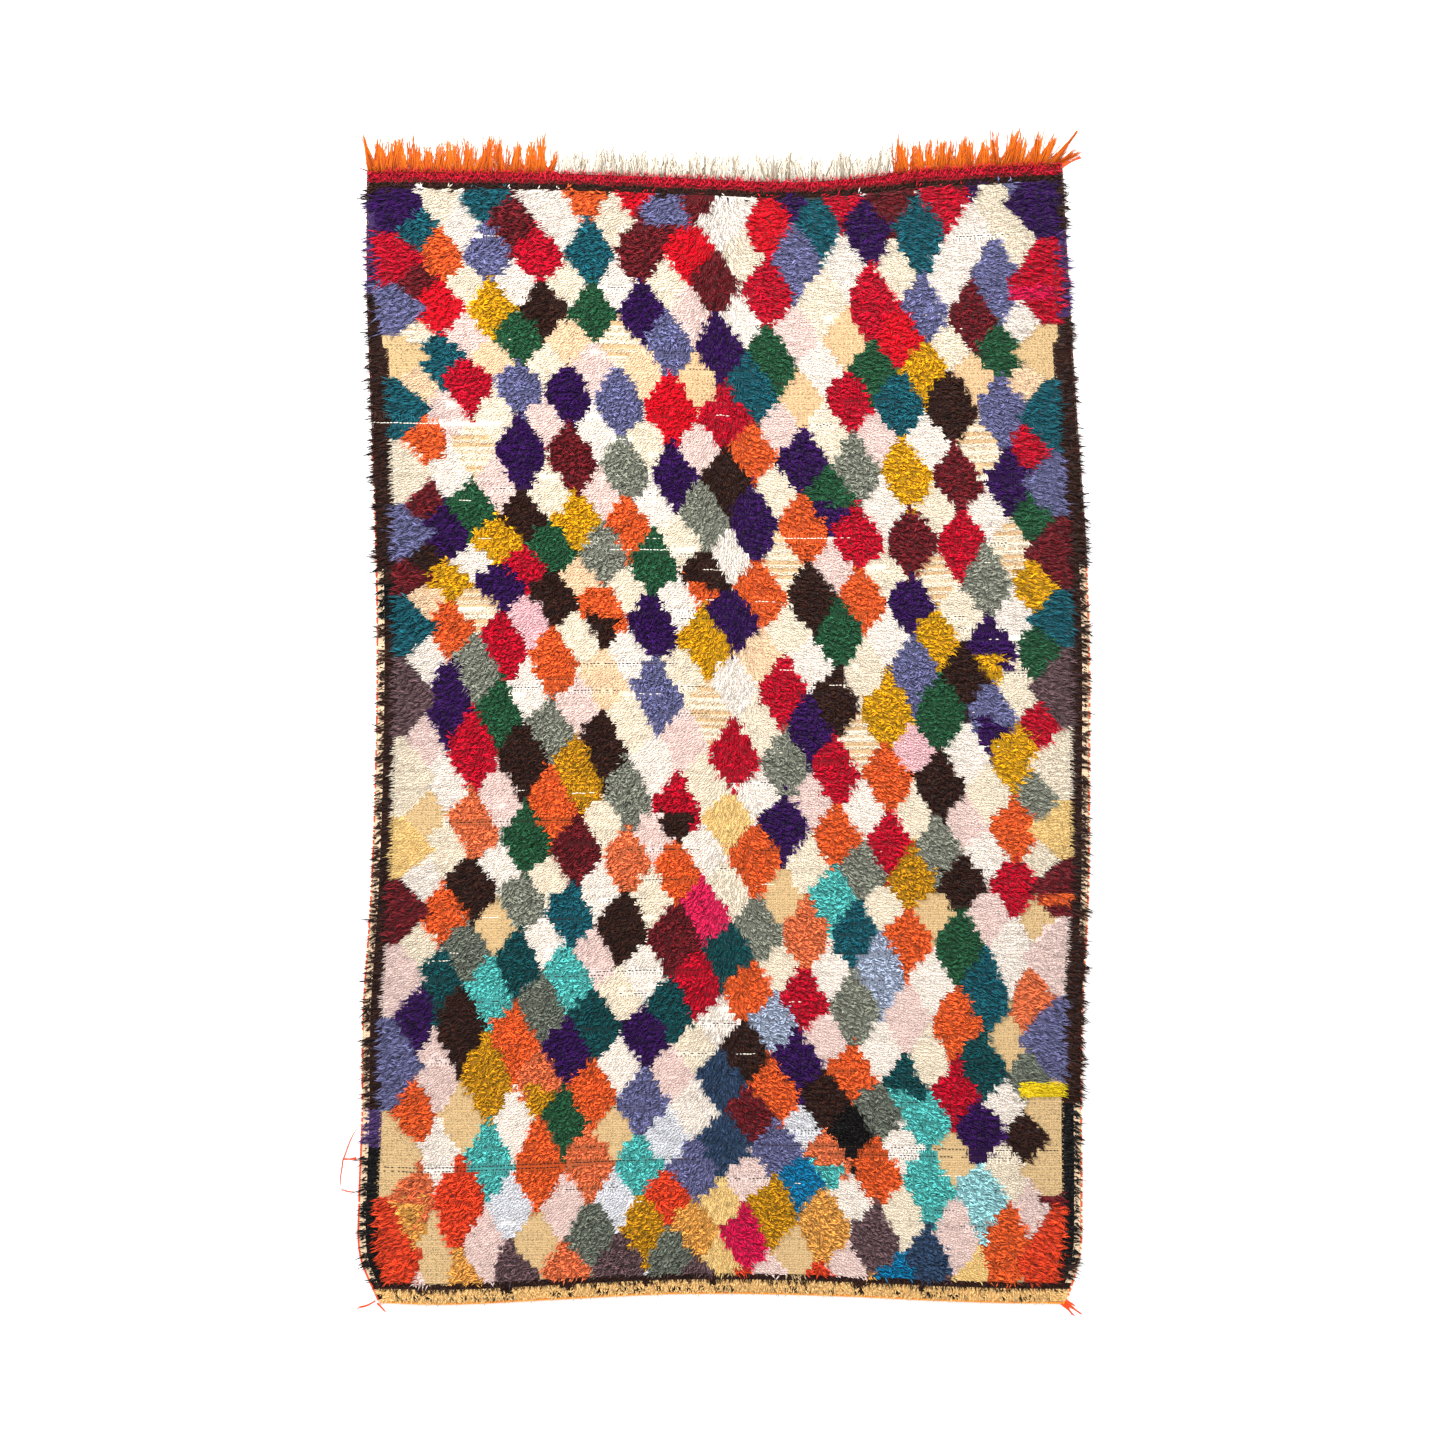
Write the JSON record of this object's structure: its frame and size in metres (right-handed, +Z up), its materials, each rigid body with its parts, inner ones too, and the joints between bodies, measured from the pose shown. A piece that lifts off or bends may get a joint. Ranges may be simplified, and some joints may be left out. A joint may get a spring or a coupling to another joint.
{
  "type": "boucherouite rug",
  "caption": "Hand-knotted shag rug with a multicoloured lozenge field, overcast side bindings and a yarn fringe at one end, lying flat",
  "frame": {"origin": "on the flat underside, at mid length of the straight cloth and on the parting that divides the pile into its left and right halves", "axes": "+Y along the warp from the bound end to the fringed end, the longest extent; +Z up out of the pile, the shortest extent; +X across the cloth"},
  "size_m": [1.5874, 2.5022, 0.022],
  "materials": {
    "rug_body": "knotted cut pile of wool and cotton yarns",
    "fringe_orange_left": "loose orange wool yarn",
    "fringe_white": "loose white cotton yarn",
    "fringe_orange_right": "loose orange wool yarn",
    "binding_left": "overcast yarn binding",
    "binding_right": "overcast yarn binding",
    "binding_bound_end": "overcast yarn binding",
    "tails_left_side": "loose yarn tails",
    "tails_left_corner": "loose yarn tails",
    "tails_right_corner": "loose yarn tails"
  },
  "bodies": {
    "root": {"rug_body": "rug_body", "fringe_orange_left": "fringe_orange_left", "fringe_white": "fringe_white", "fringe_orange_right": "fringe_orange_right", "binding_left": "binding_left", "binding_right": "binding_right", "binding_bound_end": "binding_bound_end", "tails_left_side": "tails_left_side", "tails_left_corner": "tails_left_corner", "tails_right_corner": "tails_right_corner"}
  },
  "joints": []
}
